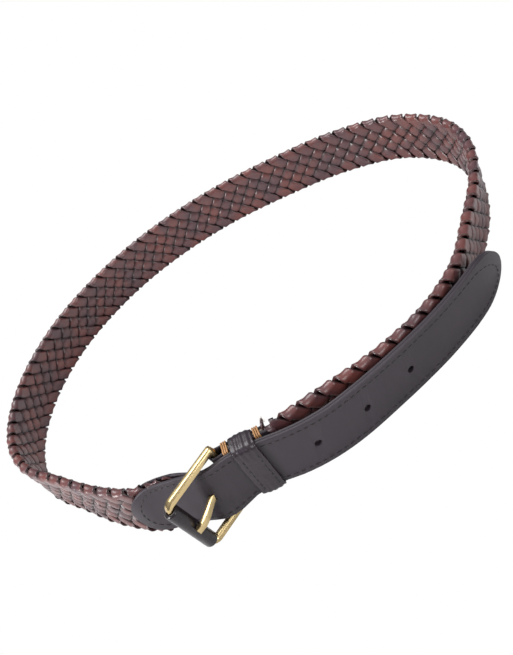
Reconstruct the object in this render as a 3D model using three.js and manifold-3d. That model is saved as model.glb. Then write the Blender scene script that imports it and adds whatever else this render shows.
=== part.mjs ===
// A braided leather belt, buckled into a loop and standing on its edge.
// Millimetres, +Z up. +X runs along the loop's long way, and -Y is the buckled side.
// The origin is on the floor, under the middle of the loop's box.
import * as THREE from 'three';
import { mergeVertices } from 'three/addons/utils/BufferGeometryUtils.js';
import Module from 'manifold-3d';

const wasm = await Module();
wasm.setup();

// The loop, seen from above
const loopLength = 306;
const loopDepth = 231;

// The braid, one woven band, pressed flat where the leather holds its ends
const braidWidth = 31.5;
const braidThickness = 4.4;
const braidEndThickness = 1.6;
const braidFlatLength = 14;
const braidPressedLength = 28;
const braidFromEye = 4;

// The leather: two plies make the strap, and one folded ply makes the buckle tab
const strapWidth = 30;
const plyThickness = 1.5;
const tabPlyThickness = 1.1;
const edgeRounding = 0.4;
const buckleTabLength = 24;
const tabEndFromProng = 43;
const tabEndRounding = 14;
const tabOverBraid = 26;
const foldFollows = [1.5, 5];
const plyClosingLength = 9;
const tabClosing = [2, 7];

// The holes and the tip
const holeDiameter = 3.6;
const holeSpacing = 26;
const openHoles = 4;
const tipFromLastHole = 72;
const tipRounding = 21;

// The brass frame and prong, and the leather roller
const frameReach = 30;
const frameSwing = THREE.MathUtils.degToRad(30);
const framePitch = THREE.MathUtils.degToRad(6);
const frameThickness = 3.6;
const armWidth = 3.8;
const barWidth = 3.2;
const frameBevel = 0.8;
const hingeCornerRadius = 2;
const rollerCornerRadius = 5;
const rollerDiameter = 7.2;
const prongWidth = 3.1;
const prongThickness = 2.4;
const prongEyeWall = 1.1;
const prongTipTaper = 0.3;
const prongBend = [12, 27];

// The keeper, a leather loop round the tab and the strap
const keeperWidth = 11;
const keeperThickness = 1.2;
const keeperCrown = 0.5;
const keeperRounding = 3;
const keeperFromHinge = 12;

// Clearances
const gap = 0.3;
const strapClearance = 1.2;
const windowClearance = 1.4;

// Sizes that follow from those above
const strapThickness = 2 * plyThickness;
const windowHeight = strapWidth + 2 * windowClearance;
const frameHeight = windowHeight + 2 * armWidth;
const barBore = barWidth / 2 / Math.cos(Math.PI / 8) + gap;
const prongEyeRadius = barBore + prongEyeWall;
const rollerRadius = rollerDiameter / 2;
const braidStart = prongEyeRadius + braidFromEye;

// The line of the band from the hinge bar round to the buckle. across and deep are shares of
// the loop's length and depth. lift is how far the band is off the floor, and lean is how far
// its top edge leans inwards, in degrees.
const loopRows = [
  { across: -0.155, deep: 0.063, lift: 7.8, lean: 4 },
  { across: -0.085, deep: 0.049, lift: 6.2, lean: 4 },
  { across: 0.020, deep: 0.050, lift: 4.3, lean: 3 },
  { across: 0.116, deep: 0.055, lift: 2.8, lean: 2 },
  { across: 0.210, deep: 0.081, lift: 1.6, lean: 2 },
  { across: 0.294, deep: 0.137, lift: 0.7, lean: 2 },
  { across: 0.362, deep: 0.223, lift: 0, lean: 0 },
  { across: 0.435, deep: 0.319, lift: 0, lean: 0 },
  { across: 0.491, deep: 0.436, lift: 0, lean: 0 },
  { across: 0.508, deep: 0.560, lift: 0, lean: 0 },
  { across: 0.467, deep: 0.709, lift: 0, lean: 0 },
  { across: 0.365, deep: 0.825, lift: 0, lean: 0 },
  { across: 0.247, deep: 0.898, lift: 0, lean: 0 },
  { across: 0.112, deep: 0.957, lift: 0, lean: 0 },
  { across: -0.020, deep: 0.981, lift: 0, lean: 0 },
  { across: -0.137, deep: 0.973, lift: 0, lean: 0 },
  { across: -0.248, deep: 0.934, lift: 0, lean: 0 },
  { across: -0.351, deep: 0.864, lift: 0, lean: 0 },
  { across: -0.440, deep: 0.751, lift: 0, lean: 0 },
  { across: -0.493, deep: 0.618, lift: 0, lean: 0 },
  { across: -0.505, deep: 0.501, lift: 0, lean: 0 },
  { across: -0.480, deep: 0.392, lift: 0.4, lean: 0 },
  { across: -0.427, deep: 0.299, lift: 1.3, lean: 2 },
  { across: -0.377, deep: 0.212, lift: 2.5, lean: 4 },
  { across: -0.332, deep: 0.149, lift: 3.5, lean: 5 },
  { across: -0.303, deep: 0.116, lift: 4.0, lean: 7 },
];

// The line of the strap in through the frame, and then from past the keeper to its tip
const throughFrameRows = [
  { across: -0.267, deep: 0.098, lift: 4.7, lean: 10 },
  { across: -0.243, deep: 0.082, lift: 5.2, lean: 12 },
  { across: -0.219, deep: 0.062, lift: 5.8, lean: 13 },
  { across: -0.199, deep: 0.043, lift: 6.4, lean: 12 },
  { across: -0.181, deep: 0.036, lift: 7.0, lean: 9 },
];
const pastKeeperRows = [
  { across: -0.069, deep: 0.019, lift: 6.1, lean: 4 },
  { across: -0.033, deep: 0.011, lift: 5.4, lean: 3 },
  { across: 0.007, deep: 0.009, lift: 4.7, lean: 2 },
  { across: 0.046, deep: 0.014, lift: 4.0, lean: 2 },
  { across: 0.101, deep: 0.026, lift: 3.1, lean: 1 },
  { across: 0.160, deep: 0.042, lift: 2.2, lean: 1 },
  { across: 0.217, deep: 0.061, lift: 1.5, lean: 1 },
  { across: 0.279, deep: 0.089, lift: 0.9, lean: 1 },
  { across: 0.342, deep: 0.129, lift: 0.4, lean: 0 },
  { across: 0.400, deep: 0.172, lift: 0.2, lean: 0 },
];

// Between these tables the strap lies on the tab, along this stretch from the hinge bar
const onTabStart = 4;
const onTabEnd = 18;
const onTabStep = 5;

// How fine the faces are
const braidStep = 6;
const leatherStep = 4;
const foldStep = 1.2;
const arcSteps = 6;
const roundSides = 24;

const upward = new THREE.Vector3(0, 0, 1);
const mix = THREE.MathUtils.lerp;
const ease = THREE.MathUtils.smoothstep;

// Solids

function toSolid(geometry) {
  const bare = geometry.clone();
  bare.deleteAttribute('normal');
  bare.deleteAttribute('uv');
  const merged = mergeVertices(bare, 1e-4);
  return new wasm.Manifold(new wasm.Mesh({
    numProp: 3,
    vertProperties: new Float32Array(merged.attributes.position.array),
    triVerts: new Uint32Array(merged.index.array),
  }));
}

function toGeometry(solid) {
  const mesh = solid.getMesh();
  const geometry = new THREE.BufferGeometry();
  geometry.setAttribute('position', new THREE.BufferAttribute(mesh.vertProperties, 3));
  geometry.setIndex(new THREE.BufferAttribute(mesh.triVerts, 1));
  geometry.computeVertexNormals();
  return geometry;
}

function polygon(points) {
  return new THREE.Shape(points.map(([x, y]) => new THREE.Vector2(x, y)));
}

// An outline raised to a height, with half of it above and half below the outline
function upright(shape, height) {
  const options = { depth: height, bevelEnabled: false, curveSegments: roundSides / 2 };
  return new THREE.ExtrudeGeometry(shape, options).translate(0, 0, -height / 2);
}

// Lines that bands follow

// Gives places and directions by the distance along a smooth line through the rows
function makeLine(rows) {
  const curve = new THREE.CatmullRomCurve3(rows.map((row) => row.point), false, 'centripetal');
  curve.arcLengthDivisions = 3000;
  const length = curve.getLength();
  function at(distance) {
    const share = THREE.MathUtils.clamp(distance / length, 0, 1);
    const along = curve.getTangentAt(share).setZ(0).normalize();
    const outward = new THREE.Vector3(along.y, -along.x, 0);
    const place = curve.getUtoTmapping(share) * (rows.length - 1);
    const row = Math.min(Math.floor(place), rows.length - 2);
    const lean = mix(rows[row].lean, rows[row + 1].lean, place - row);
    const tilt = THREE.MathUtils.degToRad(lean);
    return {
      point: curve.getPointAt(share),
      along,
      lean,
      through: outward.clone().multiplyScalar(Math.cos(tilt)).addScaledVector(upward, Math.sin(tilt)),
      edgeward: upward.clone().multiplyScalar(Math.cos(tilt)).addScaledVector(outward, -Math.sin(tilt)),
    };
  }
  return { length, at };
}

function moved(place, through, edgeward = 0) {
  return place.point.clone()
    .addScaledVector(place.through, through)
    .addScaledVector(place.edgeward, edgeward);
}

// Distances from one to another, in equal steps no longer than the step given
function steps(from, to, step) {
  const count = Math.ceil(Math.abs(to - from) / step);
  return Array.from({ length: count + 1 }, (_, k) => mix(from, to, k / count));
}

// A closed band: the section is a ring of points (through, edgeward) at each distance
function band(line, distances, section) {
  const vertices = [];
  const indices = [];
  const sides = section(distances[0]).length;
  for (const distance of distances) {
    const place = line.at(distance);
    for (const [through, edgeward] of section(distance)) {
      vertices.push(...moved(place, through, edgeward).toArray());
    }
  }
  for (let ring = 0; ring < distances.length - 1; ring += 1) {
    for (let side = 0; side < sides; side += 1) {
      const next = (side + 1) % sides;
      const here = ring * sides;
      const there = here + sides;
      indices.push(here + side, there + side, there + next);
      indices.push(here + side, there + next, here + next);
    }
  }
  const last = (distances.length - 1) * sides;
  for (let side = 1; side < sides - 1; side += 1) {
    indices.push(0, side, side + 1);
    indices.push(last, last + side + 1, last + side);
  }
  const geometry = new THREE.BufferGeometry();
  geometry.setAttribute('position', new THREE.Float32BufferAttribute(vertices, 3));
  geometry.setIndex(indices);
  geometry.computeVertexNormals();
  return geometry;
}

// A flat section with its four corners taken off
function flatSection(inside, outside, half, corner) {
  return [
    [inside + corner, -half],
    [outside - corner, -half],
    [outside, corner - half],
    [outside, half - corner],
    [outside - corner, half],
    [inside + corner, half],
    [inside, half - corner],
    [inside, corner - half],
  ];
}

// A box section with round corners, for the keeper
function roundSection(inside, outside, half, radius) {
  const points = [];
  const corners = [[outside, -half, -90], [outside, half, 0], [inside, half, 90], [inside, -half, 180]];
  for (const [through, edgeward, start] of corners) {
    const middleThrough = through - Math.sign(through - inside - radius) * radius;
    const middleEdgeward = edgeward - Math.sign(edgeward) * radius;
    for (const turn of steps(start, start + 90, 90 / 4)) {
      const angle = THREE.MathUtils.degToRad(turn);
      points.push([middleThrough + radius * Math.cos(angle), middleEdgeward + radius * Math.sin(angle)]);
    }
  }
  return points;
}

// Half the width of a strap near a rounded end, by the distance from that end
function roundedHalf(fromEnd, rounding) {
  const left = THREE.MathUtils.clamp(1 - fromEnd / rounding, 0, 1);
  return (strapWidth / 2) * Math.sqrt(1 - left * left);
}

// Distances from a rounded end to where the strap is straight, closer towards the end
function roundedEnd(end, rounding, sense) {
  return Array.from({ length: 12 }, (_, k) => {
    const angle = mix(8, 90, k / 11);
    return end + sense * rounding * (1 - Math.cos(THREE.MathUtils.degToRad(angle)));
  });
}

// The line of the whole belt

function linePlace({ across, deep, lift, lean }) {
  const height = braidWidth / 2 + lift;
  return { point: new THREE.Vector3(across * loopLength, (deep - 0.5) * loopDepth, height), lean };
}
const innerLine = makeLine(loopRows.map(linePlace));

function pressedHalf(fromBraidEnd) {
  const thickening = ease(fromBraidEnd, braidFlatLength, braidPressedLength);
  return mix(braidEndThickness, braidThickness, thickening) / 2;
}

// The braid's ends are drawn in, to fit inside the leather as far as past the keeper
const drawnInLength = keeperFromHinge + keeperWidth / 2 + gap - braidStart;
function braidHalfWidth(fromBraidEnd) {
  return mix(strapWidth / 2 - gap, braidWidth / 2, ease(fromBraidEnd, drawnInLength, 2 * drawnInLength));
}

// The folded tab's ply closes in from the hinge bar to the braid's end
function tabInside(distance) {
  return mix(barBore, pressedHalf(distance - braidStart) + gap, ease(distance, ...tabClosing));
}
const tabOutside = (distance) => tabInside(distance) + tabPlyThickness;

// The hinge bar stands where the line starts, and the frame swings out from the tab
const hinge = innerLine.at(0);
const atHinge = new THREE.Matrix4()
  .makeBasis(hinge.along, hinge.through.clone().negate(), hinge.edgeward)
  .setPosition(hinge.point);
const swungOut = new THREE.Matrix4().makeRotationZ(Math.PI + frameSwing).premultiply(atHinge);
const frameAxes = [new THREE.Vector3(), new THREE.Vector3(), new THREE.Vector3()];
swungOut.extractBasis(...frameAxes);
const [toRoller, offFrame] = frameAxes;

// Outside the tab, and under the keeper, the strap lies on the tab
const strapInside = (distance) => tabOutside(distance) + strapClearance;
function onTab(distance) {
  const place = innerLine.at(distance);
  return { point: moved(place, strapInside(distance) + strapThickness / 2), lean: place.lean };
}
const beltLine = makeLine([
  ...loopRows.map(linePlace),
  ...throughFrameRows.map(linePlace),
  ...steps(onTabStart, onTabEnd, onTabStep).map(onTab),
  ...pastKeeperRows.map(linePlace),
]);

// The prong's middle line runs level from the hinge bar, and bends up over the roller, where it ends
const prongTip = frameReach;
const prongRise = rollerRadius + gap + prongThickness / 2;
const prongHeight = (reach) => prongRise * ease(reach, ...prongBend);

function inFrame(point) {
  const away = point.clone().sub(hinge.point);
  return { reach: away.dot(toRoller), height: away.dot(offFrame) };
}

// How far along the belt the strap meets the prong
function findProngHole() {
  return steps(innerLine.length, beltLine.length, 0.05).find((distance) => {
    const { reach, height } = inFrame(beltLine.at(distance).point);
    return height > prongHeight(reach);
  });
}
const prongHole = findProngHole();
const tabEnd = prongHole - tabEndFromProng;
const braidEnd = tabEnd + tabOverBraid;
const strapTip = prongHole + openHoles * holeSpacing + tipFromLastHole;

// The pieces

function braidedBand() {
  const distances = [
    ...steps(braidStart, braidStart + braidPressedLength, braidStep).slice(0, -1),
    ...steps(braidStart + braidPressedLength, braidEnd - braidPressedLength, braidStep),
    ...steps(braidEnd - braidPressedLength, braidEnd, braidStep).slice(1),
  ];
  return band(beltLine, distances, (distance) => {
    const fromEnd = Math.min(distance - braidStart, braidEnd - distance);
    const half = pressedHalf(fromEnd);
    return flatSection(-half, half, braidHalfWidth(fromEnd), half / 2);
  });
}

// Leans an upright tab with the line, and turns its fold with the hinge bar, which the
// frame's pitch puts out of square with the tab
function leanTab(geometry) {
  const places = geometry.attributes.position;
  const place = new THREE.Vector3();
  for (let index = 0; index < places.count; index += 1) {
    place.fromBufferAttribute(places, index);
    const reach = place.clone().sub(hinge.point).dot(hinge.along);
    const here = innerLine.at(Math.max(0, reach));
    const height = place.z - here.point.z;
    const leaning = Math.tan(THREE.MathUtils.degToRad(here.lean));
    const turning = Math.tan(framePitch) * (1 - ease(reach, ...foldFollows));
    place.addScaledVector(here.through.clone().setZ(0), -height * leaning);
    place.addScaledVector(toRoller, height * turning);
    places.setXYZ(index, place.x, place.y, place.z);
  }
  return geometry;
}

// One ply folded round the hinge bar, cut through at the fold for the prong
function buckleTab() {
  const reach = steps(0, buckleTabLength, leatherStep);
  const side = (distance, sense) => {
    const place = innerLine.at(distance);
    return { point: moved(place, sense * (tabOutside(distance) - tabPlyThickness / 2)), lean: 0 };
  };
  const foldRadius = barBore + tabPlyThickness / 2;
  const fold = steps(30, 150, 30).map((turn) => {
    const angle = THREE.MathUtils.degToRad(turn);
    const point = moved(hinge, foldRadius * Math.cos(angle))
      .addScaledVector(hinge.along, -foldRadius * Math.sin(angle));
    return { point, lean: 0 };
  });
  const tabLine = makeLine([
    ...reach.map((distance) => side(distance, 1)).reverse(),
    ...fold,
    ...reach.map((distance) => side(distance, -1)),
  ]);
  const ply = leanTab(band(tabLine, steps(0, tabLine.length, foldStep), () => (
    flatSection(-tabPlyThickness / 2, tabPlyThickness / 2, strapWidth / 2, edgeRounding)
  )));
  const slotReach = prongEyeRadius + gap + 1;
  const slotLength = tabOutside(0) + 1 + slotReach;
  const slotHeight = prongWidth + 2 * (gap + prongEyeRadius * Math.sin(framePitch));
  const slot = new THREE.BoxGeometry(slotLength, 3 * tabOutside(0), slotHeight);
  slot.translate(slotReach - slotLength / 2, 0, 0).applyMatrix4(atHinge);
  return toGeometry(toSolid(ply).subtract(toSolid(slot)));
}

// The prong's outline in the frame's own plan, grown by a margin
function prongBlade(margin) {
  const half = prongThickness / 2 + margin;
  const start = prongEyeRadius / 2;
  const reaches = steps(start, prongTip + margin, 2);
  const thinning = (reach) => prongTipTaper * ease(reach, prongTip - rollerRadius, prongTip + margin);
  const taper = (reach) => half * (1 - thinning(reach));
  const over = reaches.map((reach) => [reach, prongHeight(reach) + taper(reach)]);
  const under = reaches.map((reach) => [reach, prongHeight(reach) - taper(reach)]).reverse();
  return upright(polygon([...over, ...under]), prongWidth + 2 * margin);
}

function intoFrame(geometry) {
  return geometry.rotateY(framePitch).applyMatrix4(swungOut);
}

// Two plies on each other, opened at one end round the end of the braid
function tipTab() {
  const straight = [tabEnd + tabEndRounding, strapTip - tipRounding];
  const distances = [
    ...roundedEnd(tabEnd, tabEndRounding, 1).slice(0, -1),
    ...steps(straight[0], straight[1], leatherStep),
    ...roundedEnd(strapTip, tipRounding, -1).reverse().slice(1),
  ];
  const half = (distance) => Math.min(
    roundedHalf(distance - tabEnd, tabEndRounding),
    roundedHalf(strapTip - distance, tipRounding),
  );
  const opening = (distance) => {
    const open = 1 - ease(distance, braidEnd + gap, braidEnd + gap + plyClosingLength);
    return open * (pressedHalf(Math.max(0, braidEnd - distance)) + gap);
  };
  const overlap = 0.05;
  const outer = band(beltLine, distances, (distance) => {
    const inside = opening(distance);
    return flatSection(inside - overlap, inside + plyThickness, half(distance), edgeRounding);
  });
  const inner = band(beltLine, distances, (distance) => {
    const inside = opening(distance);
    return flatSection(-inside - plyThickness, overlap - inside, half(distance), edgeRounding);
  });
  let strap = toSolid(outer).add(toSolid(inner));
  for (let hole = 1; hole <= openHoles; hole += 1) {
    const place = beltLine.at(prongHole + hole * holeSpacing);
    const radius = holeDiameter / 2;
    const drill = new THREE.CylinderGeometry(radius, radius, 4 * strapThickness, roundSides);
    const turn = new THREE.Quaternion().setFromUnitVectors(new THREE.Vector3(0, 1, 0), place.through);
    drill.applyQuaternion(turn).translate(...place.point.toArray());
    strap = strap.subtract(toSolid(drill));
  }
  strap = strap.subtract(toSolid(intoFrame(prongBlade(gap))));
  return toGeometry(strap);
}

// A crowned loop of leather round the tab and the strap
function keeper() {
  const start = keeperFromHinge - keeperWidth / 2;
  const distances = steps(start, start + keeperWidth, keeperWidth / 6);
  const outsideOf = (distance) => strapInside(distance) + strapThickness + gap;
  const insideOf = (distance) => -tabOutside(distance) - gap;
  const bodySection = (distance) => {
    const share = (distance - start) / keeperWidth;
    const wall = keeperThickness + keeperCrown * Math.sin(Math.PI * share) ** 0.7;
    const half = strapWidth / 2 + gap + wall;
    return roundSection(insideOf(distance) - wall, outsideOf(distance) + wall, half, keeperRounding);
  };
  const hollowSection = (distance) => (
    roundSection(insideOf(distance), outsideOf(distance), strapWidth / 2 + gap, keeperRounding / 4)
  );
  const body = band(innerLine, distances, bodySection);
  const hollow = band(innerLine, [start - 1, ...distances, start + keeperWidth + 1], hollowSection);
  return toGeometry(toSolid(body).subtract(toSolid(hollow)));
}

function roundedOutline(left, right, half, leftRadius, rightRadius, Kind) {
  const outline = new Kind();
  outline.moveTo(left + leftRadius, -half);
  outline.lineTo(right - rightRadius, -half);
  outline.absarc(right - rightRadius, rightRadius - half, rightRadius, -Math.PI / 2, 0);
  outline.lineTo(right, half - rightRadius);
  outline.absarc(right - rightRadius, half - rightRadius, rightRadius, 0, Math.PI / 2);
  outline.lineTo(left + leftRadius, half);
  outline.absarc(left + leftRadius, half - leftRadius, leftRadius, Math.PI / 2, Math.PI);
  outline.lineTo(left, leftRadius - half);
  outline.absarc(left + leftRadius, leftRadius - half, leftRadius, Math.PI, 1.5 * Math.PI);
  return outline;
}

// A cast loop with bevelled edges: two arms, the hinge bar and the bar in the roller
function buckleFrame() {
  const halfBar = barWidth / 2;
  const shape = roundedOutline(
    -halfBar, frameReach + halfBar, frameHeight / 2, hingeCornerRadius, rollerCornerRadius, THREE.Shape,
  );
  const windowRadius = 1;
  shape.holes.push(roundedOutline(
    halfBar, frameReach - halfBar, windowHeight / 2, windowRadius, windowRadius, THREE.Path,
  ));
  const geometry = new THREE.ExtrudeGeometry(shape, {
    depth: frameThickness - 2 * frameBevel,
    bevelThickness: frameBevel,
    bevelSize: frameBevel,
    bevelOffset: -frameBevel,
    bevelSegments: 1,
    curveSegments: arcSteps,
  });
  geometry.translate(0, 0, frameBevel - frameThickness / 2).rotateX(Math.PI / 2);
  return intoFrame(geometry);
}

function roller() {
  const half = windowHeight / 2 - gap;
  const corner = (rollerRadius - barBore) / 2;
  const profile = [
    [barBore, -half],
    [rollerRadius - corner, -half],
    [rollerRadius, corner - half],
    [rollerRadius, half - corner],
    [rollerRadius - corner, half],
    [barBore, half],
    [barBore, -half],
  ].map(([radius, height]) => new THREE.Vector2(radius, height));
  const geometry = new THREE.LatheGeometry(profile, roundSides).rotateX(Math.PI / 2);
  return intoFrame(geometry.translate(frameReach, 0, 0));
}

function prong() {
  const eye = new THREE.CylinderGeometry(prongEyeRadius, prongEyeRadius, prongWidth, roundSides);
  const bore = new THREE.CylinderGeometry(barBore, barBore, 2 * prongWidth, roundSides);
  const solid = toSolid(eye.rotateX(Math.PI / 2))
    .add(toSolid(prongBlade(0)))
    .subtract(toSolid(bore.rotateX(Math.PI / 2)));
  return intoFrame(toGeometry(solid));
}

// Finishes
const braidLeather = { color: 0x6e4137, roughness: 0.45, metalness: 0 };
const smoothLeather = { color: 0x40363a, roughness: 0.5, metalness: 0 };
const rollerLeather = { color: 0x1e1a1d, roughness: 0.5, metalness: 0 };
const brass = { color: 0xd7be78, roughness: 0.25, metalness: 1 };

const belt = new THREE.Group();
function addPiece(name, geometry, finish) {
  const mesh = new THREE.Mesh(geometry, new THREE.MeshStandardMaterial(finish));
  mesh.name = name;
  belt.add(mesh);
}
addPiece('braided_band', braidedBand(), braidLeather);
addPiece('buckle_tab', buckleTab(), smoothLeather);
addPiece('tip_tab', tipTab(), smoothLeather);
addPiece('keeper', keeper(), smoothLeather);
addPiece('buckle_frame', buckleFrame(), brass);
addPiece('prong', prong(), brass);
addPiece('roller', roller(), rollerLeather);

// The middle of the belt's box goes over the origin
const box = new THREE.Box3().setFromObject(belt);
const middle = box.getCenter(new THREE.Vector3());
belt.position.set(-middle.x, -middle.y, -box.min.z);
belt.updateMatrixWorld(true);

export default belt;
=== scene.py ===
# A braided leather belt, buckled into a loop and standing on its edge.
# Metres, +Z up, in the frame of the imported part.
import math

import bmesh
import bpy
import numpy as np
from mathutils import Euler, Matrix, Vector, bvhtree, kdtree


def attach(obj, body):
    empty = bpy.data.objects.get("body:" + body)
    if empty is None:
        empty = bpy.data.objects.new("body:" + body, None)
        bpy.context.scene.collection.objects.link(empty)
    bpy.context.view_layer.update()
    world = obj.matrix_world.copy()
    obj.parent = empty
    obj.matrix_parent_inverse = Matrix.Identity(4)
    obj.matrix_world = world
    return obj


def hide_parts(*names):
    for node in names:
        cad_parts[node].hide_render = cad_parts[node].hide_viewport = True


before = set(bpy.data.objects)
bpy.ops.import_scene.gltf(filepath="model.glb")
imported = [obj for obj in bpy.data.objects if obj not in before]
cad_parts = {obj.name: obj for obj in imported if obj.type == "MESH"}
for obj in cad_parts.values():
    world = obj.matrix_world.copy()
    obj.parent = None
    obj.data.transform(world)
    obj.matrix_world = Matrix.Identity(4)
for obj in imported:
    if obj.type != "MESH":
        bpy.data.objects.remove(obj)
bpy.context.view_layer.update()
MM = 0.001
scene = bpy.context.scene

# The camera looks down on the buckled side from in front, rolled so that the belt runs up
# to the right of the picture. Its place was fitted to the belt's outline in the picture.
PICTURE_WIDTH = 513
PICTURE_HEIGHT = 655
CAMERA_PLACE = Vector((-6.0, -283.1, 243.2)) * MM
CAMERA_DOWN = math.radians(37.84)
CAMERA_LEFT = math.radians(2.29)
CAMERA_ROLL = math.radians(37.02)
FOCAL_PIXELS = 627.3
SHIFT_PIXELS = (-43.1, -10.3)

camera_data = bpy.data.cameras.new("camera")
camera_data.sensor_width = 36
camera_data.lens = FOCAL_PIXELS * camera_data.sensor_width / PICTURE_HEIGHT
camera_data.shift_x = -SHIFT_PIXELS[0] / PICTURE_HEIGHT
camera_data.shift_y = SHIFT_PIXELS[1] / PICTURE_HEIGHT
camera_data.clip_start = 0.01
camera = bpy.data.objects.new("camera", camera_data)
level = Euler((math.pi / 2 - CAMERA_DOWN, 0, CAMERA_LEFT)).to_matrix()
rolled = level @ Matrix.Rotation(-CAMERA_ROLL, 3, "Z")
camera.matrix_world = Matrix.LocRotScale(CAMERA_PLACE, rolled, None)
scene.collection.objects.link(camera)
scene.camera = camera
scene.render.resolution_x = PICTURE_WIDTH
scene.render.resolution_y = PICTURE_HEIGHT
scene.view_settings.view_transform = "Standard"

# The studio: a white table that shows no shadow, under a pale sky, with a large soft lamp
# above the far side, a smaller one in front and a low one at the left.


def linear(code):
    """Linear red, green, blue and alpha of an sRGB hex value."""
    parts = [int(code[k:k + 2], 16) / 255 for k in (1, 3, 5)]
    return [p / 12.92 if p <= 0.04045 else ((p + 0.055) / 1.055) ** 2.4 for p in parts] + [1.0]


def add_node(tree, kind, settings=None, values=None, links=None):
    """A new node, with its settings, its socket values and its incoming links."""
    node = tree.nodes.new(kind)
    for name, value in (settings or {}).items():
        setattr(node, name, value)
    for name, value in (values or {}).items():
        node.inputs[name].default_value = value
    for name, source in (links or {}).items():
        tree.links.new(source, node.inputs[name])
    return node


def new_material(name):
    """An empty node material and its tree."""
    material = bpy.data.materials.new(name)
    material.use_nodes = True
    material.node_tree.nodes.clear()
    return material, material.node_tree


TABLE_SIZE = 3.0
bpy.ops.object.select_all(action="DESELECT")
bpy.ops.mesh.primitive_plane_add(size=TABLE_SIZE)
table = bpy.context.object
table.name = "table"
table_white, tree = new_material("white_table")
seen = add_node(tree, "ShaderNodeLightPath")
bounce = add_node(tree, "ShaderNodeBsdfDiffuse", values={"Color": linear("#d8d8d8")})
glow = add_node(tree, "ShaderNodeEmission", values={"Color": linear("#ffffff"), "Strength": 1.0})
either = add_node(tree, "ShaderNodeMixShader", links={0: seen.outputs["Is Camera Ray"]})
tree.links.new(bounce.outputs[0], either.inputs[1])
tree.links.new(glow.outputs[0], either.inputs[2])
add_node(tree, "ShaderNodeOutputMaterial", links={"Surface": either.outputs[0]})
table.data.materials.append(table_white)

world = bpy.data.worlds.new("pale_sky")
world.use_nodes = True
sky = world.node_tree
sky.nodes.clear()
looking = add_node(sky, "ShaderNodeTexCoord").outputs["Generated"]
height = add_node(sky, "ShaderNodeSeparateXYZ", links={0: looking}).outputs["Z"]
paleness = add_node(sky, "ShaderNodeMapRange",
                    values={"From Min": 0.1, "From Max": 0.9, "To Min": 0.18, "To Max": 0.8},
                    links={"Value": height})
light = add_node(sky, "ShaderNodeBackground", values={"Color": linear("#eeeef4")},
                 links={"Strength": paleness.outputs[0]})
backdrop = add_node(sky, "ShaderNodeBackground", values={"Color": linear("#ffffff")})
seen = add_node(sky, "ShaderNodeLightPath")
either = add_node(sky, "ShaderNodeMixShader", links={0: seen.outputs["Is Camera Ray"]})
sky.links.new(light.outputs[0], either.inputs[1])
sky.links.new(backdrop.outputs[0], either.inputs[2])
add_node(sky, "ShaderNodeOutputWorld", links={"Surface": either.outputs[0]})
scene.world = world


def soft_lamp(name, place, size, power):
    """A square lamp that looks at the middle of the belt."""
    data = bpy.data.lights.new(name, "AREA")
    data.size = size
    data.energy = power
    lamp = bpy.data.objects.new(name, data)
    lamp.location = place
    lamp.rotation_euler = (-Vector(place)).to_track_quat("-Z", "Y").to_euler()
    scene.collection.objects.link(lamp)


soft_lamp("lamp_above", (-0.15, 0.35, 0.9), 0.6, 9.0)
soft_lamp("lamp_front", (0.5, -0.8, 0.6), 0.5, 4.0)
soft_lamp("lamp_left", (-0.9, -0.35, 0.35), 0.3, 9.0)

# The band: six thongs of brown leather, waxed and braided flat over one and under one. Each
# runs from edge to edge in a zigzag, and wraps round the edge on its way back.
THONGS = 6
EDGE_PITCH = 9.6 * MM
THONG_WIDTH = 7.1 * MM
THONG_STEP = 1.0 * MM
EDGE_STEP = 0.35 * MM
THONG_SIDES = 12


def level_cut(node, height):
    """The longest outline that a level plane cuts through a node, as a ring of points."""
    mesh = bmesh.new()
    mesh.from_mesh(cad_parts[node].data)
    bmesh.ops.remove_doubles(mesh, verts=mesh.verts, dist=1e-6)
    parts = list(mesh.verts) + list(mesh.edges) + list(mesh.faces)
    cut = bmesh.ops.bisect_plane(mesh, geom=parts, plane_co=(0, 0, height), plane_no=(0, 0, 1))
    beside = {}
    for edge in cut["geom_cut"]:
        if isinstance(edge, bmesh.types.BMEdge):
            for vertex in edge.verts:
                beside.setdefault(vertex, []).append(edge)
    rings = []
    while beside:
        vertex, around = next(iter(beside.items()))
        edge, ring = around[0], []
        while vertex in beside:
            ring.append(tuple(vertex.co))
            edge = next(other for other in beside.pop(vertex) if other is not edge)
            vertex = edge.other_vert(vertex)
        rings.append(np.array(ring))
    mesh.free()
    return max(rings, key=len)


def split_sides(ring):
    """The two long sides of a thin ring, both from the same end."""
    closed = np.vstack([ring, ring[:1]])
    lengths = np.concatenate([[0], np.cumsum(np.linalg.norm(np.diff(closed, axis=0), axis=1))])
    around = lengths[-1]

    def at(place):
        return np.column_stack([np.interp(place % around, lengths, closed[:, k]) for k in range(3)])

    step = 0.25 * MM
    reach = 8 * MM
    samples = 1500
    places = np.arange(0, around, step)
    folded = np.linalg.norm(at(places + reach) - at(places - reach), axis=1)
    window = round(reach / step)
    lowest = np.min([np.roll(folded, shift) for shift in range(-window, window + 1)], axis=0)
    hairpins = places[(folded <= lowest) & (folded < reach)]
    spans = sorted(((after - before) % around, before)
                   for before, after in zip(hairpins, np.roll(hairpins, -1)))
    (second_span, second), (first_span, first) = spans[-2:]
    one = at(np.linspace(first, first + first_span, samples))
    other = at(np.linspace(second, second + second_span, samples))[::-1]
    if np.linalg.norm(one[0] - other[0]) > np.linalg.norm(one[-1] - other[-1]):
        one, other = one[::-1], other[::-1]
    return one, other


def smoothed(points, over):
    """Rows of points averaged over a length of line; the ends stay where they are."""
    spacing = 0.6 * MM
    half = max(1, round(over / spacing / 2))
    weights = np.hanning(2 * half + 3)[1:-1]
    weights /= weights.sum()
    padded = np.pad(points, ((half, half), (0, 0)), mode="reflect", reflect_type="odd")
    return np.column_stack([np.convolve(column, weights, mode="valid") for column in padded.T])


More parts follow.
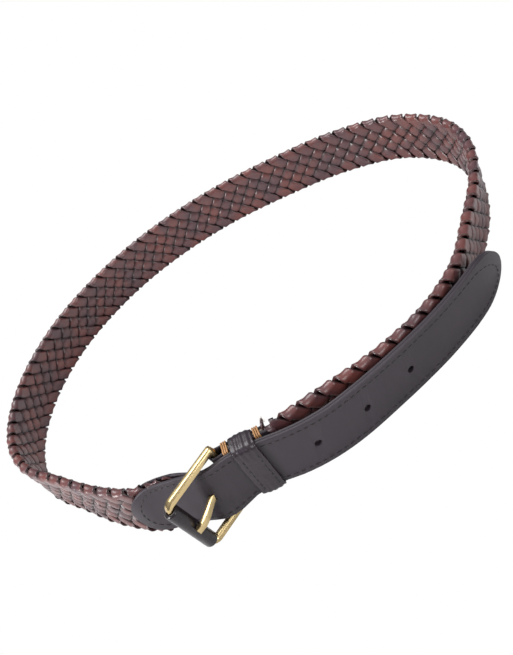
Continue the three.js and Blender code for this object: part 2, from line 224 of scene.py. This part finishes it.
class Band:
    """A band's middle line with its directions, read from two level cuts through its node."""

    def __init__(self, node, lower, upper, smooth_over, start):
        cuts = []
        for height in (lower, upper):
            one, other = split_sides(level_cut(node, height))
            middle = smoothed((one + other) / 2, smooth_over)
            thickness = np.linalg.norm(one - other, axis=1)
            if np.linalg.norm(middle[0] - start) > np.linalg.norm(middle[-1] - start):
                middle, thickness = middle[::-1], thickness[::-1]
            cuts.append((middle, thickness))
        (below, self.thickness), (above, _) = cuts
        self.centre = (below + above) / 2
        rise = smoothed(above - below, smooth_over)
        self.edgeward = rise / np.linalg.norm(rise, axis=1)[:, None]
        along = np.gradient(self.centre, axis=0)
        along[:, 2] = 0
        self.along = along / np.linalg.norm(along, axis=1)[:, None]
        outward = np.cross(self.along, self.edgeward)
        self.outward = outward / np.linalg.norm(outward, axis=1)[:, None]
        steps = np.linalg.norm(np.diff(self.centre[:, :2], axis=0), axis=1)
        self.distance = np.concatenate([[0], np.cumsum(steps)])
        self.length = self.distance[-1]
        self.find_edges(node)

    def find_edges(self, node):
        """Puts the middle line at half height, and keeps the band's half width."""
        corners = np.array([vertex.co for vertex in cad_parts[node].data.vertices])
        tree = kdtree.KDTree(len(corners))
        for index, corner in enumerate(corners):
            tree.insert((corner[0], corner[1], 0), index)
        tree.balance()
        reach = 6 * MM
        low, high = [], []
        for point in self.centre:
            near = tree.find_range((point[0], point[1], 0), reach)
            heights = [corners[index][2] for _, index, _ in near]
            low.append(min(heights))
            high.append(max(heights))
        low, high = [smoothed(np.array(level)[:, None], reach)[:, 0] for level in (low, high)]
        middle = (low + high) / 2
        shift = (middle - self.centre[:, 2]) / self.edgeward[:, 2]
        self.centre = self.centre + self.edgeward * shift[:, None]
        self.half_width = (high - low) / 2

    def look_up(self, values, distance):
        """Values that the band has at distances along it, a row for each."""
        columns = values.reshape(len(values), -1)
        return np.column_stack([np.interp(distance, self.distance, column) for column in columns.T])

    def place(self, distance, across, out):
        """Points at distances along the band, across it from its middle, and out of it."""
        distance, across, out = np.broadcast_arrays(distance, across, out)
        distance, across, out = [np.atleast_1d(values) for values in (distance, across, out)]
        beyond = distance - np.clip(distance, 0, self.length)
        return (self.look_up(self.centre, distance)
                + self.look_up(self.along, distance) * beyond[:, None]
                + self.look_up(self.edgeward, distance) * across[:, None]
                + self.look_up(self.outward, distance) * out[:, None])


def mesh_piece(name, vertices, faces, material, uvs=None):
    """An object made of vertices and faces, at the origin, riding on the belt."""
    mesh = bpy.data.meshes.new(name)
    mesh.from_pydata([tuple(vertex) for vertex in vertices], [], [tuple(face) for face in faces])
    mesh.materials.append(material)
    mesh.shade_smooth()
    if uvs is not None:
        layer = mesh.uv_layers.new(name="lie")
        corners = np.empty(len(mesh.loops), dtype=int)
        mesh.loops.foreach_get("vertex_index", corners)
        layer.data.foreach_set("uv", np.asarray(uvs)[corners].ravel())
    piece = bpy.data.objects.new(name, mesh)
    scene.collection.objects.link(piece)
    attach(piece, "root")
    return piece


def unit(vectors):
    """Rows of vectors, each made one long."""
    return vectors / np.linalg.norm(vectors, axis=1)[:, None]


def swept(line, facing, sections, closed=False):
    """Vertices, faces and UVs of a ring of (across, out) places carried along a line."""
    steps = np.roll(line, -1, 0) - np.roll(line, 1, 0) if closed else np.gradient(line, axis=0)
    tangent = unit(steps)
    out = unit(facing - tangent * (facing * tangent).sum(axis=1)[:, None])
    across = np.cross(tangent, out)
    sections = np.broadcast_to(sections, (len(line),) + np.shape(sections)[-2:])
    vertices = (line[:, None] + across[:, None] * sections[..., :1] + out[:, None] * sections[..., 1:])
    rings, sides = vertices.shape[:2]
    run = np.concatenate([[0], np.cumsum(np.linalg.norm(np.diff(line, axis=0), axis=1))])
    uvs = np.stack(np.broadcast_arrays(run[:, None] / MM, np.arange(sides)[None] / sides), axis=-1)
    first = np.arange(rings if closed else rings - 1)[:, None]
    side = np.arange(sides)[None]
    here, there = first * sides, (first + 1) % rings * sides
    after = (side + 1) % sides
    quads = np.stack([here + side, here + after, there + after, there + side], axis=-1).reshape(-1, 4)
    faces = [tuple(quad) for quad in quads]
    if not closed:
        faces.append(tuple(range(sides))[::-1])
        faces.append(tuple(range((rings - 1) * sides, rings * sides)))
    return vertices.reshape(-1, 3), faces, uvs.reshape(-1, 2)


def joined(parts):
    """One set of vertices, faces and UVs from several."""
    vertices, faces, uvs, count = [], [], [], 0
    for part_vertices, part_faces, part_uvs in parts:
        faces.extend(tuple(corner + count for corner in face) for face in part_faces)
        vertices.append(part_vertices)
        uvs.append(part_uvs)
        count += len(part_vertices)
    return np.vstack(vertices), faces, np.vstack(uvs)


def thong_leather():
    """Waxed brown leather: mauve and red-brown where it stands out, painted near-black shade in the gaps.
    """
    material, tree = new_material("waxed_brown_thong_leather")
    place = add_node(tree, "ShaderNodeTexCoord").outputs["Object"]
    patches = add_node(tree, "ShaderNodeTexNoise", values={"Scale": 1 / (14 * MM), "Detail": 4.0},
                       links={"Vector": place})
    contrast = add_node(tree, "ShaderNodeMapRange", values={"From Min": 0.36, "From Max": 0.64},
                        links={"Value": patches.outputs["Fac"]})
    rubbed = add_node(tree, "ShaderNodeMix", {"data_type": "RGBA"},
                      {6: linear("#4b3236"), 7: linear("#643732")}, {0: contrast.outputs[0]})
    lie = add_node(tree, "ShaderNodeUVMap", {"uv_map": "lie"}).outputs[0]
    lie = add_node(tree, "ShaderNodeSeparateXYZ", links={0: lie})
    # Painted shade: the deeper the skin lies in the braid, the nearer it is painted to near black.
    raised = add_node(tree, "ShaderNodeMapRange", {"interpolation_type": "SMOOTHSTEP"},
                      {"From Min": 0.4, "From Max": 0.93}, {"Value": lie.outputs["X"]})
    gap_painted_shade = add_node(tree, "ShaderNodeMix", {"data_type": "RGBA"}, {6: linear("#1d0d10")},
                    {0: raised.outputs[0], 7: rubbed.outputs[2]})
    turned = add_node(tree, "ShaderNodeMath", {"operation": "MULTIPLY"}, {1: 2 * math.pi},
                      {0: lie.outputs["Y"]})
    swing = add_node(tree, "ShaderNodeMath", {"operation": "COSINE"}, links={0: turned.outputs[0]})
    edge = add_node(tree, "ShaderNodeMath", {"operation": "ABSOLUTE"}, links={0: swing.outputs[0]})
    # Painted shade: each thong's two long edges are darkened where they sink into the gaps beside the
    # next thong.
    edge_painted_shade = add_node(tree, "ShaderNodeMapRange",
                        values={"From Min": 0.75, "From Max": 1.0, "To Min": 0.0, "To Max": 0.8},
                        links={"Value": edge.outputs[0]})
    shade = add_node(tree, "ShaderNodeMix", {"data_type": "RGBA"}, {7: linear("#1c1012")},
                     {0: edge_painted_shade.outputs[0], 6: gap_painted_shade.outputs[2]})
    creases = add_node(tree, "ShaderNodeTexNoise", values={"Scale": 1 / (0.8 * MM), "Detail": 3.0},
                       links={"Vector": place})
    bump = add_node(tree, "ShaderNodeBump", values={"Strength": 0.5, "Distance": 0.08 * MM},
                    links={"Height": creases.outputs["Fac"]})
    surface = add_node(tree, "ShaderNodeBsdfPrincipled",
                       values={"Roughness": 0.4, "IOR": 1.45, "Coat Weight": 0.35, "Coat Roughness": 0.2},
                       links={"Base Color": shade.outputs[2], "Normal": bump.outputs["Normal"]})
    add_node(tree, "ShaderNodeOutputMaterial", links={"Surface": surface.outputs[0]})
    return material


BUCKLE_SIDE = np.array([-40, -100, 20]) * MM
STRAP_HALF = 15 * MM
TAB_BRAID_HALF = 12.8 * MM
TAB_SPAN = (14 * MM, 20 * MM)
THICKNESS_SPAN = (1.6 * MM, 4.6 * MM)
THONG_FULLNESS = 1.1
braid_band = Band("braided_band", 11 * MM, 24 * MM, 14 * MM, BUCKLE_SIDE)


def thong_path(start):
    """Distances along a thong's path, and its signed turns past the nearest edge and that edge."""
    turns = braid_band.length / EDGE_PITCH
    half_run = THONGS / 4

    def from_edge(turn):
        return (turn - start + half_run) % (2 * half_run) - half_run

    coarse = np.arange(0, turns, THONG_STEP / EDGE_PITCH)
    fine = np.arange(0, turns, EDGE_STEP / EDGE_PITCH)
    wrapping = 0.3
    turn = np.concatenate([coarse[np.abs(from_edge(coarse)) > wrapping],
                           fine[np.abs(from_edge(fine)) <= wrapping], [turns]])
    turn.sort()
    side = -np.cos(math.pi * np.floor((turn - start + half_run) / (2 * half_run)))
    return turn * EDGE_PITCH, from_edge(turn), side


def flat_oval(half_width, half_thickness, sides):
    """A flat oval ring of places across and out."""
    angle = 2 * math.pi * np.arange(sides) / sides
    across = np.sign(np.cos(angle)) * np.abs(np.cos(angle)) ** 0.8
    out = np.sign(np.sin(angle)) * np.abs(np.sin(angle)) ** 0.6
    return np.column_stack([half_width * across, half_thickness * out])


def thong(start):
    """Vertices, faces and UVs of one thong; the UVs hold how far it stands out, and its edges."""
    distance, past_edge, side = thong_path(start)
    drawn_in = np.interp(distance, TAB_SPAN, (TAB_BRAID_HALF, STRAP_HALF))
    drawn_in[distance > TAB_SPAN[1]] = np.inf
    half_width = np.minimum(braid_band.look_up(braid_band.half_width, distance)[:, 0], drawn_in)
    thickness = np.clip(braid_band.look_up(braid_band.thickness, distance)[:, 0], *THICKNESS_SPAN)
    wrap = thickness / 4
    flat = half_width - thickness / 2
    past = past_edge * 4 * (flat + wrap * math.pi / 2) / THONGS
    angle = np.clip(past / wrap, -math.pi / 2, math.pi / 2)
    straight = np.maximum(0, np.abs(past) - wrap * math.pi / 2)
    across = side * (flat + wrap * np.cos(angle) - straight)
    weaving = -np.sign(past_edge) * np.cos(2 * math.pi * past_edge)
    through = side * np.where(np.abs(past_edge) < 0.5, np.sin(angle), weaving)
    line = braid_band.place(distance, across, through * wrap)
    outward = braid_band.look_up(braid_band.outward, distance)
    edgeward = braid_band.look_up(braid_band.edgeward, distance)
    facing = outward * (side * np.sin(angle))[:, None] + edgeward * (side * np.cos(angle))[:, None]
    ovals = flat_oval(1, 1, THONG_SIDES)[None] * np.column_stack(
        [np.full(len(line), THONG_WIDTH / 2), THONG_FULLNESS * wrap])[:, None]
    vertices, faces, uvs = swept(line, facing, ovals)
    away = vertices.reshape(len(line), THONG_SIDES, 3) - braid_band.place(distance, 0, 0)[:, None]
    out = (away * outward[:, None]).sum(axis=2)
    beyond = np.maximum(0, np.abs((away * edgeward[:, None]).sum(axis=2)) - flat[:, None])
    # How far the skin stands out; the leather paints shade, near black, where it lies deep.
    uvs[:, 0] = (np.hypot(out, beyond) / (2.1 * wrap)[:, None]).ravel()
    return vertices, faces, uvs


braid_vertices, braid_faces, braid_uvs = joined([thong(start) for start in range(THONGS)])
braid = mesh_piece("braid", braid_vertices, braid_faces, thong_leather(), braid_uvs)
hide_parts("braided_band")

# The strap and the tabs: near-black cowhide, smooth and lightly waxed. Two plies are sewn
# together along their edges with a dark waxed thread, round the end of the braid.


def smooth_leather(name, colour, light_colour, roughness, wrinkles=0.0):
    """Smooth dyed cowhide: cloudy dye, fine pores and, where wanted, wrinkles across a bend."""
    material, tree = new_material(name)
    place = add_node(tree, "ShaderNodeTexCoord").outputs["Object"]
    clouds = add_node(tree, "ShaderNodeTexNoise", values={"Scale": 1 / (30 * MM), "Detail": 4.0},
                      links={"Vector": place})
    shade = add_node(tree, "ShaderNodeMix", {"data_type": "RGBA"},
                     {6: linear(colour), 7: linear(light_colour)}, {0: clouds.outputs["Fac"]})
    pores = add_node(tree, "ShaderNodeTexVoronoi", values={"Scale": 1 / (0.6 * MM)},
                     links={"Vector": place})
    fine = add_node(tree, "ShaderNodeBump", values={"Strength": 0.3, "Distance": 0.02 * MM},
                    links={"Height": pores.outputs["Distance"]})
    folds = add_node(tree, "ShaderNodeTexNoise", values={"Scale": 1 / (2.5 * MM), "Detail": 2.0},
                     links={"Vector": place})
    coarse = add_node(tree, "ShaderNodeBump", values={"Strength": wrinkles, "Distance": 0.5 * MM},
                      links={"Height": folds.outputs["Fac"], "Normal": fine.outputs["Normal"]})
    surface = add_node(tree, "ShaderNodeBsdfPrincipled",
                       values={"Roughness": roughness, "IOR": 1.42},
                       links={"Base Color": shade.outputs[2], "Normal": coarse.outputs["Normal"]})
    add_node(tree, "ShaderNodeOutputMaterial", links={"Surface": surface.outputs[0]})
    return material


def softened_copy(name, node, rounding, material):
    """A copy of a node with its loose triangles merged and its sharp edges rounded over."""
    bpy.ops.object.select_all(action="DESELECT")
    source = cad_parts[node]
    piece = bpy.data.objects.new(name, source.data.copy())
    scene.collection.objects.link(piece)
    mesh = bmesh.new()
    mesh.from_mesh(piece.data)
    bmesh.ops.remove_doubles(mesh, verts=mesh.verts, dist=1e-6)
    bmesh.ops.dissolve_limit(mesh, angle_limit=math.radians(0.5), verts=mesh.verts, edges=mesh.edges)
    mesh.to_mesh(piece.data)
    mesh.free()
    piece.data.materials.clear()
    piece.data.materials.append(material)
    bpy.context.view_layer.objects.active = piece
    piece.select_set(True)
    bevel = piece.modifiers.new("rounded_edges", "BEVEL")
    bevel.width = rounding
    bevel.segments = 2
    bevel.limit_method = "ANGLE"
    bevel.angle_limit = math.radians(35)
    bpy.ops.object.modifier_apply(modifier=bevel.name)
    bpy.ops.object.shade_smooth_by_angle(angle=math.radians(35))
    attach(piece, "root")
    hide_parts(node)
    return piece


strap_leather = smooth_leather("smooth_black_cowhide", "#292429", "#352e35", 0.5)
strap = softened_copy("strap", "tip_tab", 0.3 * MM, strap_leather)
tab = softened_copy("tab", "buckle_tab", 0.2 * MM, strap_leather)

THREAD_RADIUS = 0.32 * MM
STITCH_PITCH = 3.4 * MM
STITCH_LENGTH = 2.5 * MM
bpy.ops.object.select_all(action="DESELECT")
bpy.ops.mesh.primitive_uv_sphere_add(segments=8, ring_count=6, radius=0.5)
model = bpy.context.object
stitch_vertices = np.array([vertex.co for vertex in model.data.vertices])
stitch_faces = [tuple(face.vertices) for face in model.data.polygons]
bpy.data.objects.remove(model)


def skin_of(piece):
    """A tree for finding the surface of a piece."""
    mesh = bmesh.new()
    mesh.from_mesh(piece.data)
    tree = bvhtree.BVHTree.FromBMesh(mesh)
    mesh.free()
    return tree


def on_skin(skin, band, distance, across, side):
    """Where a line from outside, level with a place on the band, meets the skin."""
    reach = 14 * MM
    start = Vector(band.place(distance, across, side * reach)[0])
    inward = -side * Vector(band.look_up(band.outward, distance)[0])
    point, normal, _, _ = skin.ray_cast(start, inward, reach)
    return point, normal


def sewn(name, skin, band, rows, side, thread):
    """A row of stitches for each path of (distance, across) places on a skin."""
    parts = []
    for row in rows:
        steps = np.linalg.norm(np.diff(row, axis=0), axis=1)
        run = np.concatenate([[0], np.cumsum(steps)])
        for begin in np.arange(0.5 * MM, run[-1] - STITCH_LENGTH, STITCH_PITCH):
            ends = [np.interp((begin, begin + STITCH_LENGTH), run, row[:, k]) for k in (0, 1)]
            found = [on_skin(skin, band, d, a, side) for d, a in zip(*ends)]
            if any(point is None for point, _ in found):
                continue
            (tail, normal), (head, _) = found
            lie = head - tail
            if abs(lie.length - STITCH_LENGTH) > 0.6 * MM:
                continue
            beside = normal.cross(lie).normalized()
            axes = np.array([lie, beside * 2 * THREAD_RADIUS, normal * 2 * THREAD_RADIUS])
            middle = np.array((tail + head) / 2)
            parts.append((stitch_vertices @ axes + middle, stitch_faces, stitch_vertices[:, :2]))
    vertices, faces, uvs = joined(parts)
    return mesh_piece(name, vertices, faces, thread, uvs)


def waxed_thread(name, colour):
    """Twisted linen thread, waxed."""
    material, tree = new_material(name)
    place = add_node(tree, "ShaderNodeTexCoord").outputs["Object"]
    fibres = add_node(tree, "ShaderNodeTexNoise", values={"Scale": 1 / (0.25 * MM)},
                      links={"Vector": place})
    bump = add_node(tree, "ShaderNodeBump", values={"Strength": 0.5, "Distance": 0.05 * MM},
                    links={"Height": fibres.outputs["Fac"]})
    surface = add_node(tree, "ShaderNodeBsdfPrincipled",
                       values={"Base Color": linear(colour), "Roughness": 0.45},
                       links={"Normal": bump.outputs["Normal"]})
    add_node(tree, "ShaderNodeOutputMaterial", links={"Surface": surface.outputs[0]})
    return material


BUCKLE_END = np.array([-103, -84, 20]) * MM
STITCH_INSET = 2.6 * MM
TAB_ROUNDING = 14 * MM
TIP_ROUNDING = 21 * MM
ROUND_END_STEPS = 60
strap_band = Band("tip_tab", 12 * MM, 28 * MM, 8 * MM, BUCKLE_END)
half = STRAP_HALF - STITCH_INSET
half_turn = np.linspace(0, math.pi, ROUND_END_STEPS)
tip_middle = strap_band.length - TIP_ROUNDING
tab_end = np.column_stack([TAB_ROUNDING - (TAB_ROUNDING - STITCH_INSET) * np.sin(half_turn),
                           -half * np.cos(half_turn)])
tip_end = np.column_stack([tip_middle + (TIP_ROUNDING - STITCH_INSET) * np.sin(half_turn),
                           half * np.cos(half_turn)])
outline = np.vstack([tab_end, tip_end, tab_end[:1]])
black_thread = waxed_thread("black_waxed_thread", "#15110f")
strap_skin = skin_of(strap)
for side, name in ((1, "strap_stitches_outside"), (-1, "strap_stitches_inside")):
    sewn(name, strap_skin, strap_band, [outline], side, black_thread)

# The tab's cut edges, burnished together over the braid's end, and its two bindings: tan
# thread wound three times round the tab, beside the hinge bar and past the keeper.
burnished_edge = smooth_leather("burnished_tab_edge", "#3a3029", "#4a3e33", 0.4)
HINGE_TO_BRAID = 7.1 * MM
FOLD_OPENING = (2 * MM, 7 * MM)
OPEN_HALF = 2.0 * MM
CLOSED_HALF = 1.15 * MM
EDGE_DEEP = 1.0 * MM
EDGE_SET_IN = 0.1 * MM
TAB_EDGE_SPAN = (3.2 * MM, 23.7 * MM)
TAB_EDGE_STEPS = 40
tab_run = np.linspace(*TAB_EDGE_SPAN, TAB_EDGE_STEPS)
inner_half = np.interp(tab_run, FOLD_OPENING, (OPEN_HALF, CLOSED_HALF))
half_sizes = np.column_stack([np.full(TAB_EDGE_STEPS, EDGE_DEEP), inner_half])
edge_parts = []
for side in (1, -1):
    line = braid_band.place(tab_run - HINGE_TO_BRAID, side * (STRAP_HALF - EDGE_DEEP - EDGE_SET_IN), 0)
    facing = braid_band.look_up(braid_band.outward, tab_run - HINGE_TO_BRAID)
    edge_parts.append(swept(line, facing, flat_oval(1, 1, 16)[None] * half_sizes[:, None]))
mesh_piece("tab_edges", *joined(edge_parts)[:2], burnished_edge)

BINDING_TURNS = 3
BINDING_SPACING = 1.0 * MM
BINDING_RADIUS = 0.42 * MM
BINDING_STEPS = 64
tan_thread = waxed_thread("tan_waxed_thread", "#a87c50")


def bound(name, first, out_half):
    """Thread wound round the tab from a distance along the braid."""
    turn = np.linspace(0, 2 * math.pi, BINDING_STEPS, endpoint=False)
    parts = []
    for index in range(BINDING_TURNS):
        distance = first + index * BINDING_SPACING
        across = np.clip(1.12 * np.sin(turn), -1, 1) * (STRAP_HALF + BINDING_RADIUS)
        out = np.clip(2.4 * np.cos(turn), -1, 1) * (out_half + BINDING_RADIUS)
        line = braid_band.place(distance, across, out)
        facing = line - braid_band.place(distance, 0.9 * across, 0)
        ring = flat_oval(BINDING_RADIUS, BINDING_RADIUS, 8)
        parts.append(swept(line, facing, ring, closed=True))
    vertices, faces, uvs = joined(parts)
    return mesh_piece(name, vertices, faces, tan_thread, uvs)


bound("hinge_binding", -4.2 * MM, 2.75 * MM)
bound("tab_binding", 11.3 * MM, 2.35 * MM)

# The end of one thong, in the same waxed leather, cut off and tucked out past the tab's
# binding. Its cut end has frayed into a tuft of pale fibres.
END_STEPS = 12
END_COMES_OUT = 15.2
share = np.linspace(0, 1, END_STEPS)
curl = np.sin(share * math.pi / 2)
distance = (END_COMES_OUT + 2.2 * share) * MM
across = (12.6 + 5.2 * curl) * MM
out = (-0.6 - 1.6 * share ** 2) * MM
line = braid_band.place(distance, across, out)
facing = braid_band.look_up(braid_band.along, np.full(END_STEPS, END_COMES_OUT * MM))
taper = 1 - 0.35 * share ** 3
ovals = flat_oval(1.5 * MM, 0.9 * MM, 12)[None] * taper[:, None, None]
end_vertices, end_faces, end_uvs = swept(line, facing, ovals)
end_uvs[:, 0] = 1
mesh_piece("thong_end", end_vertices, end_faces, braid.data.materials[0], end_uvs)
FIBRES = 14
FIBRE_SPREAD = 0.45 * MM
FIBRE_RADIUS = 0.09 * MM
chance = np.random.default_rng(7)
fibres = []
for spread in chance.normal(0, FIBRE_SPREAD, (FIBRES, 3)):
    root = line[-1] + spread * 0.8
    tip = root + (line[-1] - line[-4]) * 0.55 + spread * 1.6
    middle = (root + tip) / 2 + spread[::-1] * 0.3
    strand = np.array([root, middle, tip])
    ring = flat_oval(FIBRE_RADIUS, FIBRE_RADIUS, 5)
    fibres.append(swept(strand, np.tile(facing[0], (3, 1)), ring))
mesh_piece("frayed_fibres", *joined(fibres)[:2], waxed_thread("pale_fibres", "#b7a48a"))

# The keeper: a raised band of the same leather, closed into a loop round tab and strap, with
# a row of stitches along either edge and a wrinkled shine on its bend.
keeper_leather = smooth_leather("creased_black_cowhide", "#272126", "#332b31", 0.3, 0.3)
loop = softened_copy("loop", "keeper", 0.25 * MM, keeper_leather)
WRINKLE_PITCH = 2.7 * MM
WRINKLE_DEEP = 0.28 * MM
WRINKLE_SWAY = 0.9
SWAY_LENGTH = 1.3 * MM
BEND_SPAN = (10 * MM, 15 * MM)
LONG_EDGE = 1.2 * MM
mesh = bmesh.new()
mesh.from_mesh(loop.data)
long_edges = [edge for edge in mesh.edges if edge.calc_length() > LONG_EDGE]
bmesh.ops.subdivide_edges(mesh, edges=long_edges, cuts=3, use_grid_fill=True)
bmesh.ops.triangulate(mesh, faces=mesh.faces)
mesh.normal_update()
places = kdtree.KDTree(len(braid_band.centre))
for index, point in enumerate(braid_band.centre):
    places.insert((point[0], point[1], 0), index)
places.balance()
for vertex in mesh.verts:
    _, index, _ = places.find((vertex.co.x, vertex.co.y, 0))
    away = np.array(vertex.co) - braid_band.centre[index]
    along = braid_band.distance[index] + away @ braid_band.along[index]
    bend = np.interp(abs(away @ braid_band.edgeward[index]), BEND_SPAN, (0, 1))
    sway = WRINKLE_SWAY * math.sin(away[2] / SWAY_LENGTH)
    ridge = math.cos(2 * math.pi * along / WRINKLE_PITCH + sway)
    vertex.co -= vertex.normal * WRINKLE_DEEP * bend * (0.5 - 0.5 * ridge)
mesh.to_mesh(loop.data)
mesh.free()
loop.data.shade_smooth()
KEEPER_FIRST = -0.6 * MM
KEEPER_WIDTH = 11 * MM
KEEPER_INSET = 2.0 * MM
KEEPER_ROW_HALF = 13 * MM
KEEPER_ROW_STEPS = 60
keeper_rows = []
for distance in (KEEPER_FIRST + KEEPER_INSET, KEEPER_FIRST + KEEPER_WIDTH - KEEPER_INSET):
    across = np.linspace(-KEEPER_ROW_HALF, KEEPER_ROW_HALF, KEEPER_ROW_STEPS)
    keeper_rows.append(np.column_stack([np.full(KEEPER_ROW_STEPS, distance), across]))
sewn("keeper_stitches", skin_of(loop), braid_band, keeper_rows, 1, black_thread)

# The buckle: a frame and its prong, cast in brass and polished, hung in the tab's fold. A
# roller with a sleeve of black leather turns on the frame's outer bar.
polished_brass, tree = new_material("polished_cast_brass")
place = add_node(tree, "ShaderNodeTexCoord").outputs["Object"]
smears = add_node(tree, "ShaderNodeTexNoise", values={"Scale": 1 / (3 * MM), "Detail": 5.0},
                  links={"Vector": place})
rough = add_node(tree, "ShaderNodeMapRange",
                 values={"To Min": 0.14, "To Max": 0.3}, links={"Value": smears.outputs["Fac"]})
surface = add_node(tree, "ShaderNodeBsdfPrincipled",
                   values={"Base Color": linear("#c4ae80"), "Metallic": 1.0},
                   links={"Roughness": rough.outputs[0]})
add_node(tree, "ShaderNodeOutputMaterial", links={"Surface": surface.outputs[0]})
buckle = softened_copy("buckle", "buckle_frame", 0.3 * MM, polished_brass)
pin = softened_copy("pin", "prong", 0.3 * MM, polished_brass)

roller_leather = smooth_leather("black_roller_leather", "#1b171a", "#272124", 0.25)
sleeve = softened_copy("sleeve", "roller", 0.3 * MM, roller_leather)
